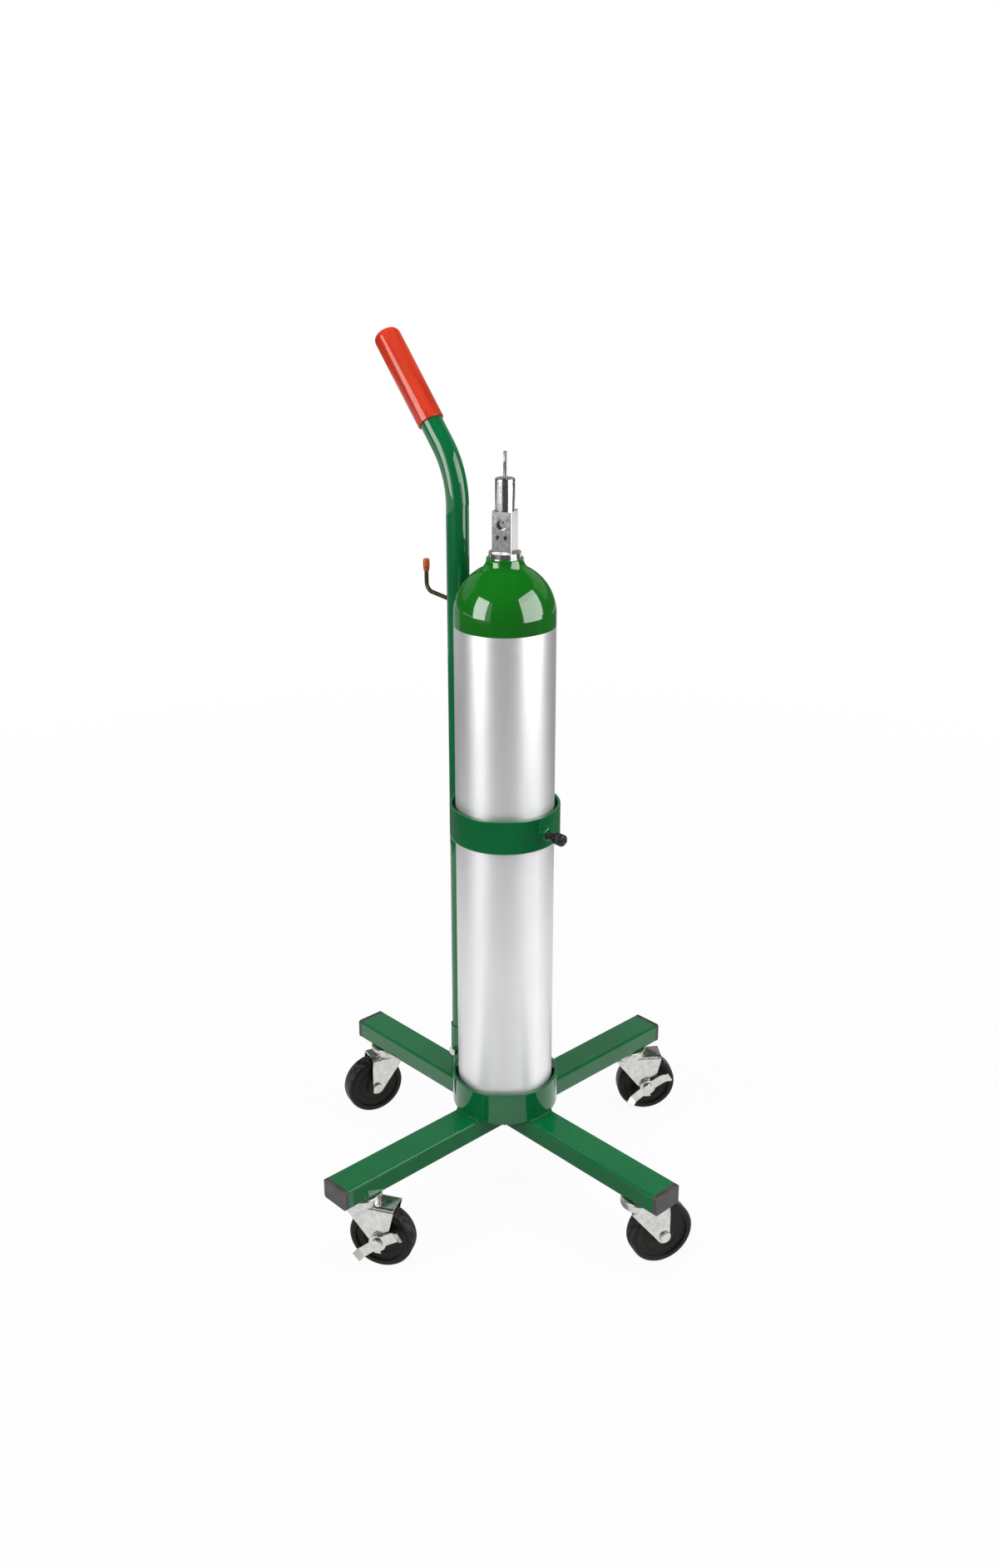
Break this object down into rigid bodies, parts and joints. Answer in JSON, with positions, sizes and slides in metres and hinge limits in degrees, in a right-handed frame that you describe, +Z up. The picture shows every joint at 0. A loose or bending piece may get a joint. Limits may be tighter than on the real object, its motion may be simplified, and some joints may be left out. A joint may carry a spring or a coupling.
{
  "type": "gas cylinder trolley",
  "caption": "Cross-shaped welded base on swivel casters with a ring, clamp collar and bent push pole that hold one upright gas cylinder.",
  "frame": {"origin": "on the floor, straight below the gas cylinder's axis", "axes": "+Z up, +Y to the push pole, -Y to the clamp screw, legs along X and Y"},
  "size_m": [0.5334, 0.5176, 1.004],
  "materials": {
    "frame_paint": "glossy green enamel",
    "end_plug": "matt black moulded plastic",
    "zinc": "bright zinc plate",
    "grip_vinyl": "glossy red-orange dipped vinyl",
    "hook_rod": "dark painted rod",
    "tip_vinyl": "orange-red dipped vinyl",
    "pad_nylon": "natural nylon",
    "screw_black": "black oxide thread",
    "knob_black": "black moulded plastic",
    "wheel_rubber": "black hard rubber",
    "cylinder_metal": "brushed bare metal with a glossy green painted shoulder",
    "valve_chrome": "bright chrome plate",
    "seal_rubber": "black rubber"
  },
  "bodies": {
    "frame": {"base_tube_long": "frame_paint", "base_tube_left": "frame_paint", "base_tube_right": "frame_paint", "end_cap_front": "end_plug", "end_cap_rear": "end_plug", "end_cap_left": "end_plug", "end_cap_right": "end_plug", "base_ring": "frame_paint", "frame_welds": "frame_paint", "pole_socket": "frame_paint", "socket_bolt": "zinc", "socket_nut": "zinc", "handle_tube": "frame_paint", "grip": "grip_vinyl", "hook": "hook_rod", "hook_tip": "tip_vinyl", "collar": "frame_paint", "collar_welds": "frame_paint", "collar_nut": "frame_paint", "caster_nuts": "zinc", "caster_stem_front": "zinc", "caster_stem_rear": "zinc", "caster_stem_left": "zinc", "caster_stem_right": "zinc"},
    "screw_pad": {"screw_pad": "pad_nylon"},
    "clamp_screw": {"clamp_screw": "screw_black", "screw_knob": "knob_black"},
    "gas_cylinder": {"cylinder_shell": "cylinder_metal", "valve_body": "valve_chrome", "valve_oring": "seal_rubber", "valve_packing": "pad_nylon", "gland_nut": "valve_chrome", "relief_plug": "valve_chrome"},
    "valve_spindle": {"valve_spindle": "valve_chrome"},
    "fork_front": {"swivel_balls_front": "zinc", "fork_front": "zinc", "axle_front": "zinc", "bush_front": "zinc"},
    "wheel_front": {"wheel_front": "wheel_rubber"},
    "fork_rear": {"swivel_balls_rear": "zinc", "fork_rear": "zinc", "axle_rear": "zinc", "bush_rear": "zinc"},
    "wheel_rear": {"wheel_rear": "wheel_rubber"},
    "fork_left": {"swivel_balls_left": "zinc", "fork_left": "zinc", "axle_left": "zinc", "bush_left": "zinc", "brake_cam_left": "zinc"},
    "brake_left": {"brake_lever_left": "zinc"},
    "wheel_left": {"wheel_left": "wheel_rubber"},
    "fork_right": {"swivel_balls_right": "zinc", "fork_right": "zinc", "axle_right": "zinc", "bush_right": "zinc", "brake_cam_right": "zinc"},
    "brake_right": {"brake_lever_right": "zinc"},
    "wheel_right": {"wheel_right": "wheel_rubber"}
  },
  "joints": [
    {"name": "swivel_front", "type": "hinge", "parent": "frame", "child": "fork_front", "pos_m": [0, -0.2208, 0.0858], "axis": [0, 0, 1], "continuous": true},
    {"name": "roll_front", "type": "hinge", "parent": "fork_front", "child": "wheel_front", "pos_m": [0.0223, -0.22967, 0.0375], "axis": [0.3697, 0.9291, 0], "continuous": true},
    {"name": "swivel_rear", "type": "hinge", "parent": "frame", "child": "fork_rear", "pos_m": [0, 0.2208, 0.0858], "axis": [0, 0, 1], "continuous": true},
    {"name": "roll_rear", "type": "hinge", "parent": "fork_rear", "child": "wheel_rear", "pos_m": [-0.02313, 0.22721, 0.0375], "axis": [-0.2672, -0.9636, 0], "continuous": true},
    {"name": "swivel_left", "type": "hinge", "parent": "frame", "child": "fork_left", "pos_m": [-0.2208, 0, 0.0858], "axis": [0, 0, 1], "continuous": true},
    {"name": "roll_left", "type": "hinge", "parent": "fork_left", "child": "wheel_left", "pos_m": [-0.20891, -0.02085, 0.0375], "axis": [0.8686, 0.4955, 0], "continuous": true},
    {"name": "brake_left", "type": "hinge", "parent": "fork_left", "child": "brake_left", "pos_m": [-0.20891, -0.02085, 0.0375], "axis": [0.8686, 0.4955, 0], "range_deg": [0, 40]},
    {"name": "swivel_right", "type": "hinge", "parent": "frame", "child": "fork_right", "pos_m": [0.2208, 0, 0.0858], "axis": [0, 0, 1], "continuous": true},
    {"name": "roll_right", "type": "hinge", "parent": "fork_right", "child": "wheel_right", "pos_m": [0.24002, -0.01438, 0.0375], "axis": [0.599, 0.8007, 0], "continuous": true},
    {"name": "brake_right", "type": "hinge", "parent": "fork_right", "child": "brake_right", "pos_m": [0.24002, -0.01438, 0.0375], "axis": [0.599, 0.8007, 0], "range_deg": [0, 40]},
    {"name": "screw_travel", "type": "slide", "parent": "frame", "child": "screw_pad", "axis": [0, -1, 0], "range_m": [0, 0.00625]},
    {"name": "screw_turn", "type": "hinge", "parent": "screw_pad", "child": "clamp_screw", "pos_m": [0, -0.08, 0.4788], "axis": [0, -1, 0], "range_deg": [0, 1800]},
    {"name": "cylinder_lift", "type": "slide", "parent": "frame", "child": "gas_cylinder", "axis": [0, 0, 1], "range_m": [0, 0.42]},
    {"name": "spindle_turn", "type": "hinge", "parent": "gas_cylinder", "child": "valve_spindle", "pos_m": [0, 0, 0.8291], "axis": [0, 0, 1], "range_deg": [0, 450]}
  ],
  "couplings": [
    {"joint": "screw_travel", "follows": "screw_turn", "m_per_rad": 0.00019894}
  ]
}
